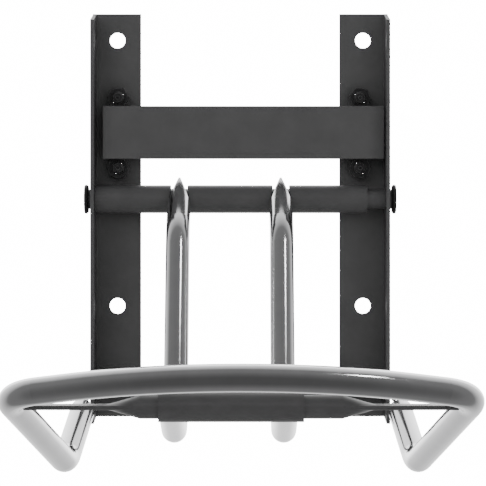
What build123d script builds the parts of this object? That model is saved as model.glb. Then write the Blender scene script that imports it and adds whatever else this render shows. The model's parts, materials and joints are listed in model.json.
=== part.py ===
"""Bicycle wall rack: two steel angles on the wall, a brace that swings on a pivot shaft,
and a bent tube hoop that is hinged on the brace and props its two leg ends on the angles.

Millimetres. +Z is up, the wall is the plane Y = 0 and the rack stands out towards -Y.
The origin is the centre of the four wall screw holes. "Out" is the distance from the wall, -Y.
"""

import os
from math import cos, radians, sin, tan

from build123d import *

# Driving dimensions
WALL_HOLE_X = 101.7
WALL_HOLE_Z = 110.0
WALL_HOLE_R = 6.5

ANGLE_OUTER_X = 122.2
ANGLE_LEG = 40.0
ANGLE_T = 3.0
ANGLE_TOP = 131.9
ANGLE_BOTTOM = -201.7
SIDE_LEG_TOP_DROP = 8.0
SIDE_LEG_BOTTOM_DROP = 3.5

BAR_LEFT_X = -112.9
BAR_RIGHT_X = 118.3
BAR_HEIGHT = 43.4
BAR_T = 5.0
BAR_Z = 32.8
BAR_BACK_OUT = 20.0

BOLT_X = {"left": -100.9, "right": 98.8}
BOLT_PITCH_Z = 57.8
BOLT_R = 4.9
BOLT_END_OUT = 18.0
FIT = 0.1
STRAP_T = 3.0
STRAP_WIDTH = 18.0
STRAP_RISER_Z = 19.0
NUT_ACROSS_FLATS = 16.0
NUT_HEIGHT = 8.0
NUT_TURNS = {"left": (0.0, 4.0), "right": (-12.0, 8.0)}

PIVOT_OUT = 22.0
PIVOT_Z = -21.9
LOWER_ROD_Z = -176.1
SHAFT_R = 8.0
CAP_INNER_X = 124.4
CAP_OUTER_X = 127.9
CAP_R = 12.0
CAP_SOCKET = 1.3

TUBE_X = (-118.9, 104.0)
PIVOT_TUBE_R = 11.5
PIVOT_TUBE_BORE_R = 9.5
BUSH_LENGTH = 18.0
RUNNING_FIT = 0.08

ARM_X = {"left": -49.8, "right": 33.2}
ARM_R = 9.5
ARM_WALL = 1.5
ARM_TOP_SLOPE = 32.5
ARM_ABOVE_PIVOT = 6.5
ARM_SHOULDER = (75.0, -47.9)
ARM_ELBOW = (149.0, -208.4)
SHOULDER_BEND_R = 40.0
ELBOW_BEND_R = 45.0
NIB_TIP = 8.0
NIB_TIP_HALF_WIDTH = 0.7
NIB_HALF_ANGLE = 15.0
SADDLE_R = 8.3
SADDLE_FLOOR = 3.4

SLEEVE_X = (-58.8, 46.3)
SLEEVE_R = 11.0
HINGE_OUT = 268.0
HINGE_Z = -176.1

CROSSBAR_R = 8.65
CROSSBAR_WALL = 2.0
CROSSBAR_ROUND_X = 73.0
CROSSBAR_FLAT_X = 97.0
CROSSBAR_END_X = 160.0
FLAT_T = 3.4
FLAT_WIDTH = 24.0

HOOP_X = 1.0
HOOP_R = 10.0
HOOP_WALL = 1.5
HOOP_SLOPE = 19.7
LEG_END = (128.8, 46.0, -193.4)
LEG_BEND = (137.1, 120.0, -229.2)
HOOP_CORNER = (168.3, 30.5)
HOOP_FRONT_VERTEX = 100.2
LEG_BEND_R = 30.0
CORNER_BEND_R = 32.0
FRONT_BEND_R = 330.0


def at(x, out, z):
    """Point at a distance out from the wall."""
    return Vector(x, -out, z)


def rod(x0, x1, radius, out, z):
    """Solid round bar along X."""
    return Pos((x0 + x1) / 2, -out, z) * Rot(0, 90, 0) * Cylinder(radius, x1 - x0)


def tube(x0, x1, radius, bore_radius, out, z):
    """Round tube along X."""
    return rod(x0, x1, radius, out, z) - rod(x0 - 1, x1 + 1, bore_radius, out, z)


def block(x0, x1, out0, out1, z0, z1):
    """Box between two corners."""
    centre = Pos((x0 + x1) / 2, -(out0 + out1) / 2, (z0 + z1) / 2)
    return centre * Box(x1 - x0, out1 - out0, z1 - z0)


def swept(path, radius):
    """Solid round bar of one radius along a path."""
    return sweep(Plane(path @ 0, z_dir=path % 0) * Circle(radius), path=path)


def largest(shape):
    """The biggest solid of a cut, without the loose offcuts."""
    return max(shape.solids(), key=lambda solid: solid.volume)


def across_wall(radius, x, out0, out1, z):
    """Solid round bar that points out from the wall."""
    return Pos(x, -(out0 + out1) / 2, z) * Rot(90, 0, 0) * Cylinder(radius, out1 - out0)


def bolt_heights():
    return (BAR_Z + BOLT_PITCH_Z / 2, BAR_Z - BOLT_PITCH_Z / 2)


def upright(side):
    """Steel angle: a leg flat on the wall and a side leg that stands out from it."""
    sign = -1 if side == "left" else 1
    inner, outer = ANGLE_OUTER_X - ANGLE_LEG, ANGLE_OUTER_X
    wall_leg = block(inner, outer, 0, ANGLE_T, ANGLE_BOTTOM, ANGLE_TOP)
    outline = [
        at(outer, 0, ANGLE_BOTTOM),
        at(outer, ANGLE_LEG, ANGLE_BOTTOM - SIDE_LEG_BOTTOM_DROP),
        at(outer, ANGLE_LEG, ANGLE_TOP - SIDE_LEG_TOP_DROP),
        at(outer, 0, ANGLE_TOP),
    ]
    side_leg = extrude(make_face(Polyline(*outline, close=True)), ANGLE_T, dir=(-1, 0, 0))
    angle = wall_leg + side_leg
    for z in (WALL_HOLE_Z, -WALL_HOLE_Z):
        angle -= across_wall(WALL_HOLE_R, WALL_HOLE_X, -1, ANGLE_T + 1, z)
    for z in bolt_heights():
        angle -= across_wall(BOLT_R + FIT, sign * BOLT_X[side], -1, ANGLE_T + 1, z)
    for z in (PIVOT_Z, LOWER_ROD_Z):
        angle -= rod(outer - ANGLE_T - 1, outer + 1, SHAFT_R + FIT, PIVOT_OUT, z)
    return angle if side == "right" else mirror(angle, about=Plane.YZ)


def cross_bar():
    """Flat bar that ties the two angles together, in front of the nuts."""
    half = BAR_HEIGHT / 2
    bar = block(BAR_LEFT_X, BAR_RIGHT_X, BAR_BACK_OUT, BAR_BACK_OUT + BAR_T, BAR_Z - half, BAR_Z + half)
    return chamfer(bar.edges(), 0.5)


def bar_bracket(side):
    """Hat-shaped strap behind the cross bar, with a round foot under each nut."""
    x = BOLT_X[side]
    foot_end = BOLT_PITCH_Z / 2
    x0, x1 = x - STRAP_WIDTH / 2, x + STRAP_WIDTH / 2
    z0, z1 = BAR_Z - STRAP_RISER_Z, BAR_Z + STRAP_RISER_Z
    foot_out = ANGLE_T + STRAP_T
    strap = block(x0, x1, ANGLE_T, BAR_BACK_OUT, z0, z1)
    strap -= block(x0 - 1, x1 + 1, ANGLE_T - 1, BAR_BACK_OUT - STRAP_T, z0 + STRAP_T, z1 - STRAP_T)
    strap += block(x0, x1, ANGLE_T, foot_out, BAR_Z - foot_end, z0)
    strap += block(x0, x1, ANGLE_T, foot_out, z1, BAR_Z + foot_end)
    for z in bolt_heights():
        strap += across_wall(STRAP_WIDTH / 2, x, ANGLE_T, foot_out, z)
    for z in bolt_heights():
        strap -= across_wall(BOLT_R + FIT, x, ANGLE_T - 1, foot_out + 1, z)
    return strap


def bracket_bolt(x, z):
    """Threaded stud set flush in the back of the angle, with a chamfered end and a centre dimple."""
    stud = across_wall(BOLT_R, x, 0, BOLT_END_OUT, z)
    end = stud.faces().sort_by(Axis.Y)[0]
    stud = chamfer(end.edges(), 1.0)
    return stud - across_wall(1.5, x, BOLT_END_OUT - 1.2, BOLT_END_OUT + 1, z)


def bracket_nut(x, z, turn):
    """Hexagon nut with its outer corners chamfered."""
    out0 = ANGLE_T + STRAP_T
    corner_r = NUT_ACROSS_FLATS / 2 / cos(radians(30))
    hexagon = extrude(RegularPolygon(corner_r, 6), NUT_HEIGHT)
    cone = Pos(0, 0, NUT_HEIGHT / 2) * Cylinder(corner_r, NUT_HEIGHT)
    cone = chamfer(cone.faces().sort_by(Axis.Z)[-1].edges(), 0.7, 1.2)
    nut = (hexagon & cone) - Cylinder(BOLT_R + FIT, 3 * NUT_HEIGHT)
    return Pos(x, -out0, z) * Rot(90, 0, 0) * Rot(0, 0, turn) * nut


def shaft(z):
    """Round rod through both side legs."""
    return rod(-CAP_INNER_X - CAP_SOCKET, CAP_INNER_X + CAP_SOCKET, SHAFT_R, PIVOT_OUT, z)


def shaft_cap(sign, z):
    """Push-on cap over one end of a rod."""
    cap = rod(CAP_INNER_X, CAP_OUTER_X, CAP_R, PIVOT_OUT, z)
    cap = fillet(cap.faces().sort_by(Axis.X)[-1].edges(), 1.4)
    cap = chamfer(cap.faces().sort_by(Axis.X)[0].edges(), 1.2)
    cap -= rod(CAP_INNER_X - 1, CAP_INNER_X + CAP_SOCKET, SHAFT_R, PIVOT_OUT, z)
    return cap if sign > 0 else mirror(cap, about=Plane.YZ)


def arm_path(x):
    """Centre line of one arm, from its nib behind the pivot tube to the hinge axis."""
    slope = radians(ARM_TOP_SLOPE)
    along = Vector(0, cos(slope), sin(slope))
    above = Vector(0, -sin(slope), cos(slope))
    pivot = at(x, PIVOT_OUT, PIVOT_Z)
    start = pivot + above * ARM_ABOVE_PIVOT + along * (NIB_TIP + 2)
    shoulder = at(x, *ARM_SHOULDER)
    elbow = at(x, *ARM_ELBOW)
    end = at(x, HINGE_OUT, HINGE_Z)
    return FilletPolyline(start, shoulder, elbow, end, radius=[SHOULDER_BEND_R, ELBOW_BEND_R])


def arm_top_plane(x):
    """Plane at the pivot: its X points along the arm to the wall, its Y is the rack's +X or -X."""
    slope = radians(ARM_TOP_SLOPE)
    return Plane(
        at(x, PIVOT_OUT, PIVOT_Z),
        x_dir=(0, cos(slope), sin(slope)),
        z_dir=(0, -sin(slope), cos(slope)),
    )


def nib_waste(x):
    """What is cut away on both sides to bring the top of an arm's end to a point."""
    top = arm_top_plane(x)
    reach = 60.0
    wide = NIB_TIP_HALF_WIDTH + reach * tan(radians(NIB_HALF_ANGLE))
    waste = []
    for side in (1, -1):
        wedge = [
            (NIB_TIP, 0),
            (NIB_TIP, side * NIB_TIP_HALF_WIDTH),
            (NIB_TIP - reach, side * wide),
            (NIB_TIP - reach, side * 40),
            (40, side * 40),
            (40, 0),
        ]
        waste.append(extrude(top * make_face(Polyline(*wedge, close=True)), 40, both=True))
    return waste


def arm_saddle(x):
    """The groove under an arm's end in the top of the pivot tube."""
    top = arm_top_plane(x)
    lying = Plane(top.origin + top.z_dir * ARM_ABOVE_PIVOT, z_dir=top.x_dir)
    above = top * Pos(0, 0, SADDLE_FLOOR + 30) * Box(120, 60, 60)
    return (lying * Cylinder(SADDLE_R, 120)) & above


def arm(side):
    """Bent round tube, coped on the pivot tube at the top and on the hinge sleeve at the bottom."""
    x = ARM_X[side]
    path = arm_path(x)
    shape = swept(path, ARM_R) - swept(path, ARM_R - ARM_WALL)
    for piece in nib_waste(x):
        shape -= piece
    shape -= rod(x - 30, x + 30, PIVOT_TUBE_R, PIVOT_OUT, PIVOT_Z)
    shape -= rod(x - 30, x + 30, SLEEVE_R, HINGE_OUT, HINGE_Z)
    return largest(shape)


def pivot_tube():
    """Tube that turns on the pivot shaft, grooved where the arms end over it."""
    shape = tube(*TUBE_X, PIVOT_TUBE_R, PIVOT_TUBE_BORE_R, PIVOT_OUT, PIVOT_Z)
    for x in ARM_X.values():
        shape -= arm_saddle(x)
    return shape


def pivot_bush(x0):
    """Plain bush pressed into one end of the pivot tube."""
    return tube(x0, x0 + BUSH_LENGTH, PIVOT_TUBE_BORE_R, SHAFT_R + RUNNING_FIT, PIVOT_OUT, PIVOT_Z)


def sleeve():
    """Hinge sleeve that the crossbar of the hoop turns in."""
    return tube(*SLEEVE_X, SLEEVE_R, CROSSBAR_R + RUNNING_FIT, HINGE_OUT, HINGE_Z)


def hoop_plane():
    """Plane of the hoop through the hinge axis: X across, Y forwards and up."""
    slope = radians(HOOP_SLOPE)
    return Plane(at(HOOP_X, HINGE_OUT, HINGE_Z), x_dir=(1, 0, 0), z_dir=(0, sin(slope), cos(slope)))


def hoop_path():
    """Centre line of the hoop from one leg end round the front to the other."""
    plane = hoop_plane()
    corner_x, corner_v = HOOP_CORNER
    half = [at(*LEG_END), at(*LEG_BEND)]
    half = [point + Vector(HOOP_X, 0, 0) for point in half]
    half.append(plane.from_local_coords(Vector(corner_x, -corner_v, 0)))
    front = plane.from_local_coords(Vector(0, -HOOP_FRONT_VERTEX, 0))
    other = [Vector(2 * HOOP_X - p.X, p.Y, p.Z) for p in reversed(half)]
    radii = [LEG_BEND_R, CORNER_BEND_R, FRONT_BEND_R, CORNER_BEND_R, LEG_BEND_R]
    return FilletPolyline(*half, front, *other, radius=radii)


def hoop_tube():
    """One bent tube: two legs, two elbows, two corners and a bowed front."""
    path = hoop_path()
    return swept(path, HOOP_R) - swept(path, HOOP_R - HOOP_WALL)


def crossbar_section(sign, distance):
    """Plane square to the crossbar, its X along the depth of the rack."""
    return Plane(at(HOOP_X + sign * distance, HINGE_OUT, HINGE_Z), x_dir=(0, 1, 0), z_dir=(sign, 0, 0))


def crossbar():
    """Round tube across the hoop, squeezed flat at both ends and welded to the sides."""
    round_ends = (HOOP_X - CROSSBAR_ROUND_X, HOOP_X + CROSSBAR_ROUND_X)
    shape = tube(*round_ends, CROSSBAR_R, CROSSBAR_R - CROSSBAR_WALL, HINGE_OUT, HINGE_Z)
    for sign in (-1, 1):
        round_end = crossbar_section(sign, CROSSBAR_ROUND_X) * Circle(CROSSBAR_R)
        flat_start = crossbar_section(sign, CROSSBAR_FLAT_X) * SlotOverall(FLAT_WIDTH, FLAT_T)
        shape += loft([round_end.face(), flat_start.face()])
        shape += extrude(flat_start, CROSSBAR_END_X - CROSSBAR_FLAT_X, dir=(sign, 0, 0))
    return largest(shape - swept(hoop_path(), HOOP_R))


def write(name, *solids):
    """One STEP file for one named piece, or for a group of equal pieces."""
    shape = solids[0] if len(solids) == 1 else Compound(children=list(solids))
    export_step(shape, f"parts/{name}.step")


def main():
    os.makedirs("parts", exist_ok=True)
    for side in ("left", "right"):
        write(f"{side}_upright", upright(side))
        write(f"{side}_bar_bracket", bar_bracket(side))
        write(f"{side}_arm", arm(side))
        write(f"{side}_bracket_bolts", *[bracket_bolt(BOLT_X[side], z) for z in bolt_heights()])
        turned = zip(bolt_heights(), NUT_TURNS[side])
        write(f"{side}_bracket_nuts", *[bracket_nut(BOLT_X[side], z, turn) for z, turn in turned])
    write("cross_bar", cross_bar())
    for name, z in (("pivot_shaft", PIVOT_Z), ("lower_rod", LOWER_ROD_Z)):
        write(name, shaft(z))
        write(f"{name}_caps", shaft_cap(-1, z), shaft_cap(1, z))
    write("pivot_tube", pivot_tube())
    write("left_pivot_bush", pivot_bush(TUBE_X[0]))
    write("right_pivot_bush", pivot_bush(TUBE_X[1] - BUSH_LENGTH))
    write("hinge_sleeve", sleeve())
    write("hoop_tube", hoop_tube())
    write("hoop_crossbar", crossbar())


main()
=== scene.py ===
"""Looks for the bicycle wall rack: materials, floor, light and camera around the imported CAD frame.

Places and lengths are metres in the frame's own axes: the wall is at y = 0 and the rack stands out to -y.
"""

import json
import math

import bpy
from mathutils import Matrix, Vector


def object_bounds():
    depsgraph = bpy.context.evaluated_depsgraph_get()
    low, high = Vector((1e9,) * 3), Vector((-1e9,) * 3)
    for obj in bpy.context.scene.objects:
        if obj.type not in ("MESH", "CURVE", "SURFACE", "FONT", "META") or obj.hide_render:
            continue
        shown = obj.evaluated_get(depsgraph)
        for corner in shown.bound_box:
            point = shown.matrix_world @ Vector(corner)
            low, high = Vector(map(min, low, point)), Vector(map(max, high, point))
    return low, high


CAMERA_X = 0.0023
CAMERA_Z = -0.0579
CAMERA_DISTANCE = 2.042
CAMERA_LENS_MM = 182.2
CAMERA_SENSOR_MM = 36.0

FLOOR_SIZE = 4.0
FLOOR_Y = -0.5
FLOOR_GAP = 0.35

BACKDROP_STRENGTH = 20.0
WORLD_STRENGTH = 3.2
WORLD_UP_SHARE = 0.35
# A direction's dot product with (0, 1, WORLD_UP_SHARE) runs from minus this to this along the tone ramp.
WORLD_RAMP_END = 1.3
# Position on that ramp, from in front of the rack and below to behind and above, and grey level there.
WORLD_STOPS = (
    (0.13, 0.028),
    (0.36, 0.059),
    (0.54, 0.068),
    (0.70, 0.27),
    (0.80, 0.42),
    (0.865, 1.0),
)

LIGHT_AIM = (0.0, -0.12, -0.05)
# Name, place, side of the square, watts, and whether polished tube reflects it.
LIGHTS = (
    ("front_left", (-0.9, -2.0, 1.0), 1.6, 24.0, False),
    ("front_right", (0.7, -2.0, 0.0), 1.6, 19.0, False),
    ("behind", (0.5, 1.8, 1.0), 1.6, 16.0, False),
    ("left_side", (-2.0, -0.2, 0.6), 1.2, 8.0, False),
    ("streak", (1.1, -1.2, 1.5), 0.25, 2.5, True),
)

# Noise seldom leaves this middle part of 0..1, so it is what gets spread over a colour or a roughness.
NOISE_LOW = 0.3
NOISE_HIGH = 0.7
FINE_DETAIL = 2.0

# Cosine of the angle between the bevelled and the true normal, where wear begins and where it is full.
WEAR_BEGINS = 0.995
WEAR_FULL = 0.9

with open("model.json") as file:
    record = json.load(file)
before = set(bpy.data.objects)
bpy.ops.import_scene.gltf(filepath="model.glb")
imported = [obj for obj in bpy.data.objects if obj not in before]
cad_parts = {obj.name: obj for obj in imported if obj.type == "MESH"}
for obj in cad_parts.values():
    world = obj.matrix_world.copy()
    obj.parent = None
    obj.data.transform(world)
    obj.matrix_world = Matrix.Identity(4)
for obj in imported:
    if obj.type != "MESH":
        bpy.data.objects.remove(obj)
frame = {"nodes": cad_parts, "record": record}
cad_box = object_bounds()


def node_tree(name):
    """New node material, with its tree and its Principled shader."""
    material = bpy.data.materials.new(name)
    material.use_nodes = True
    tree = material.node_tree
    return material, tree, tree.nodes["Principled BSDF"]


def noise(tree, scale, detail=4.0):
    """Noise in object space, in cycles per metre."""
    coordinates = tree.nodes.new("ShaderNodeTexCoord")
    texture = tree.nodes.new("ShaderNodeTexNoise")
    texture.inputs["Scale"].default_value = scale
    texture.inputs["Detail"].default_value = detail
    tree.links.new(coordinates.outputs["Object"], texture.inputs["Vector"])
    return texture.outputs["Fac"]


def ranged(tree, value, low, high):
    """Noise spread over low..high."""
    node = tree.nodes.new("ShaderNodeMapRange")
    node.inputs["From Min"].default_value = NOISE_LOW
    node.inputs["From Max"].default_value = NOISE_HIGH
    node.inputs["To Min"].default_value = low
    node.inputs["To Max"].default_value = high
    tree.links.new(value, node.inputs["Value"])
    return node.outputs["Result"]


def tinted(tree, value, dark, light):
    """Noise spread between two colours."""
    ramp = tree.nodes.new("ShaderNodeValToRGB")
    ramp.color_ramp.elements[0].position = NOISE_LOW
    ramp.color_ramp.elements[0].color = (*dark, 1.0)
    ramp.color_ramp.elements[1].position = NOISE_HIGH
    ramp.color_ramp.elements[1].color = (*light, 1.0)
    tree.links.new(value, ramp.inputs["Fac"])
    return ramp.outputs["Color"]


def bumped(tree, value, strength, distance):
    """Normal disturbed by a height."""
    bump = tree.nodes.new("ShaderNodeBump")
    bump.inputs["Strength"].default_value = strength
    bump.inputs["Distance"].default_value = distance
    tree.links.new(value, bump.inputs["Height"])
    return bump.outputs["Normal"]


def worn_edges(tree, colour, edge_colour, radius):
    """Colour that lightens where a bevelled normal leaves the true normal, on corners and rims."""
    bevel = tree.nodes.new("ShaderNodeBevel")
    bevel.inputs["Radius"].default_value = radius
    geometry = tree.nodes.new("ShaderNodeNewGeometry")
    dot = tree.nodes.new("ShaderNodeVectorMath")
    dot.operation = "DOT_PRODUCT"
    tree.links.new(bevel.outputs["Normal"], dot.inputs[0])
    tree.links.new(geometry.outputs["Normal"], dot.inputs[1])
    edge = tree.nodes.new("ShaderNodeMapRange")
    edge.inputs["From Min"].default_value = WEAR_BEGINS
    edge.inputs["From Max"].default_value = WEAR_FULL
    tree.links.new(dot.outputs["Value"], edge.inputs["Value"])
    mix = tree.nodes.new("ShaderNodeMix")
    mix.data_type = "RGBA"
    mix.inputs["B"].default_value = (*edge_colour, 1.0)
    tree.links.new(edge.outputs["Result"], mix.inputs["Factor"])
    tree.links.new(colour, mix.inputs["A"])
    return mix.outputs["Result"]


def surface(tree, shader, colour, roughness, normal):
    """Feeds the shader its colour, roughness and normal."""
    tree.links.new(colour, shader.inputs["Base Color"])
    tree.links.new(roughness, shader.inputs["Roughness"])
    tree.links.new(normal, shader.inputs["Normal"])


def powder_coat():
    """Satin dark grey paint with a fine orange-peel skin."""
    material, tree, shader = node_tree("wall_steel_paint")
    mottle = noise(tree, scale=45.0)
    peel = noise(tree, scale=1400.0, detail=FINE_DETAIL)
    colour = tinted(tree, mottle, dark=(0.057, 0.057, 0.058), light=(0.066, 0.066, 0.067))
    colour = worn_edges(tree, colour, edge_colour=(0.075, 0.075, 0.076), radius=0.0005)
    roughness = ranged(tree, mottle, low=0.46, high=0.56)
    surface(tree, shader, colour, roughness, bumped(tree, peel, strength=0.18, distance=0.00006))
    return material


def chrome_plate():
    """Bright plated tube with a soft polish, so that its reflections have blurred edges."""
    material, tree, shader = node_tree("chrome_plate")
    shader.inputs["Metallic"].default_value = 1.0
    haze = noise(tree, scale=60.0)
    scratches = noise(tree, scale=900.0, detail=FINE_DETAIL)
    colour = tinted(tree, haze, dark=(0.74, 0.74, 0.75), light=(0.80, 0.80, 0.81))
    roughness = ranged(tree, haze, low=0.11, high=0.16)
    surface(tree, shader, colour, roughness, bumped(tree, scratches, strength=0.06, distance=0.00003))
    return material


def dark_coat():
    """Semi-gloss dark grey coat on the round tubes, smoother than the paint of the angles."""
    material, tree, shader = node_tree("dark_tube_coat")
    mottle = noise(tree, scale=70.0)
    peel = noise(tree, scale=1100.0, detail=FINE_DETAIL)
    colour = tinted(tree, mottle, dark=(0.052, 0.052, 0.053), light=(0.060, 0.060, 0.061))
    colour = worn_edges(tree, colour, edge_colour=(0.07, 0.07, 0.071), radius=0.0004)
    roughness = ranged(tree, mottle, low=0.36, high=0.44)
    surface(tree, shader, colour, roughness, bumped(tree, peel, strength=0.12, distance=0.00004))
    return material


def black_oxide():
    """Blackened steel with rubbed corners."""
    material, tree, shader = node_tree("black_oxide")
    shader.inputs["Metallic"].default_value = 0.7
    grain = noise(tree, scale=700.0)
    colour = tinted(tree, grain, dark=(0.035, 0.035, 0.036), light=(0.060, 0.060, 0.061))
    colour = worn_edges(tree, colour, edge_colour=(0.22, 0.22, 0.22), radius=0.0005)
    roughness = ranged(tree, grain, low=0.32, high=0.5)
    surface(tree, shader, colour, roughness, bumped(tree, grain, strength=0.15, distance=0.00005))
    return material


def moulded_plastic(name, dark, light, smoothest, roughest):
    """Plain moulded plastic with a fine matt skin."""
    material, tree, shader = node_tree(name)
    skin = noise(tree, scale=1800.0, detail=FINE_DETAIL)
    colour = tinted(tree, skin, dark, light)
    roughness = ranged(tree, skin, smoothest, roughest)
    surface(tree, shader, colour, roughness, bumped(tree, skin, strength=0.12, distance=0.00004))
    return material


def dress_frame():
    """Gives every CAD node the material of its slot."""
    looks = {
        "wall_steel": powder_coat(),
        "chrome": chrome_plate(),
        "dark_coat": dark_coat(),
        "black_fastener": black_oxide(),
        "black_cap": moulded_plastic(
            "black_cap_plastic",
            dark=(0.010, 0.010, 0.010),
            light=(0.020, 0.020, 0.020),
            smoothest=0.40,
            roughest=0.53,
        ),
        "nylon": moulded_plastic(
            "nylon_plastic",
            dark=(0.62, 0.61, 0.56),
            light=(0.70, 0.69, 0.64),
            smoothest=0.45,
            roughest=0.58,
        ),
    }
    for subpart in frame["record"]["subparts"]:
        piece = frame["nodes"][subpart["node"]]
        piece.data.materials.clear()
        piece.data.materials.append(looks[subpart["material_slot"]])


def soft_world():
    """Bright behind and above the rack and dark in front, so that polished tube reads dark with light rims.

    What the camera sees directly is plain white from every side.
    """
    world = bpy.data.worlds.new("studio")
    bpy.context.scene.world = world
    world.use_nodes = True
    tree = world.node_tree
    background = tree.nodes["Background"]
    background.inputs["Strength"].default_value = WORLD_STRENGTH
    coordinates = tree.nodes.new("ShaderNodeTexCoord")
    along = tree.nodes.new("ShaderNodeVectorMath")
    along.operation = "DOT_PRODUCT"
    along.inputs[1].default_value = (0.0, 1.0, WORLD_UP_SHARE)
    scaled = tree.nodes.new("ShaderNodeMapRange")
    scaled.inputs["From Min"].default_value = -WORLD_RAMP_END
    scaled.inputs["From Max"].default_value = WORLD_RAMP_END
    ramp = tree.nodes.new("ShaderNodeValToRGB")
    stops = ramp.color_ramp.elements
    for position, _ in WORLD_STOPS[1:-1]:
        stops.new(position)
    for stop, (position, level) in zip(stops, WORLD_STOPS):
        stop.position = position
        stop.color = (level, level, level, 1.0)
    tree.links.new(coordinates.outputs["Generated"], along.inputs[0])
    tree.links.new(along.outputs["Value"], scaled.inputs["Value"])
    tree.links.new(scaled.outputs["Result"], ramp.inputs["Fac"])
    tree.links.new(ramp.outputs["Color"], background.inputs["Color"])
    backdrop = tree.nodes.new("ShaderNodeBackground")
    backdrop.inputs["Strength"].default_value = BACKDROP_STRENGTH
    ray = tree.nodes.new("ShaderNodeLightPath")
    seen = tree.nodes.new("ShaderNodeMixShader")
    tree.links.new(ray.outputs["Is Camera Ray"], seen.inputs["Fac"])
    tree.links.new(background.outputs["Background"], seen.inputs[1])
    tree.links.new(backdrop.outputs["Background"], seen.inputs[2])
    tree.links.new(seen.outputs["Shader"], tree.nodes["World Output"].inputs["Surface"])


def floor():
    """Plain pale floor below the rack, which polished tube doesn't reflect."""
    place = (0, FLOOR_Y, cad_box[0][2] - FLOOR_GAP)
    bpy.ops.mesh.primitive_plane_add(size=FLOOR_SIZE, location=place)
    plane = bpy.context.object
    plane.name = "floor"
    plane.visible_glossy = False
    material, tree, shader = node_tree("pale_floor")
    colour = tinted(tree, noise(tree, scale=2.0), dark=(0.78, 0.78, 0.78), light=(0.82, 0.82, 0.82))
    tree.links.new(colour, shader.inputs["Base Color"])
    shader.inputs["Roughness"].default_value = 0.8
    plane.data.materials.append(material)


def area_light(name, place, size, power, in_reflections):
    """Soft square light that points at the rack."""
    data = bpy.data.lights.new(name, "AREA")
    data.size = size
    data.energy = power
    light = bpy.data.objects.new(name, data)
    light.location = place
    light.rotation_euler = (Vector(LIGHT_AIM) - Vector(place)).to_track_quat("-Z", "Y").to_euler()
    light.visible_glossy = in_reflections
    bpy.context.collection.objects.link(light)


def lights():
    """Soft light from the front, back and left, and one small light whose streak shows on the hoop."""
    for light in LIGHTS:
        area_light(*light)


def camera():
    """Level camera straight in front of the rack."""
    data = bpy.data.cameras.new("camera")
    data.lens = CAMERA_LENS_MM
    data.sensor_width = CAMERA_SENSOR_MM
    viewer = bpy.data.objects.new("camera", data)
    viewer.location = (CAMERA_X, -CAMERA_DISTANCE, CAMERA_Z)
    viewer.rotation_euler = (math.radians(90), 0, 0)
    bpy.context.collection.objects.link(viewer)
    bpy.context.scene.camera = viewer


dress_frame()
soft_world()
floor()
lights()
camera()
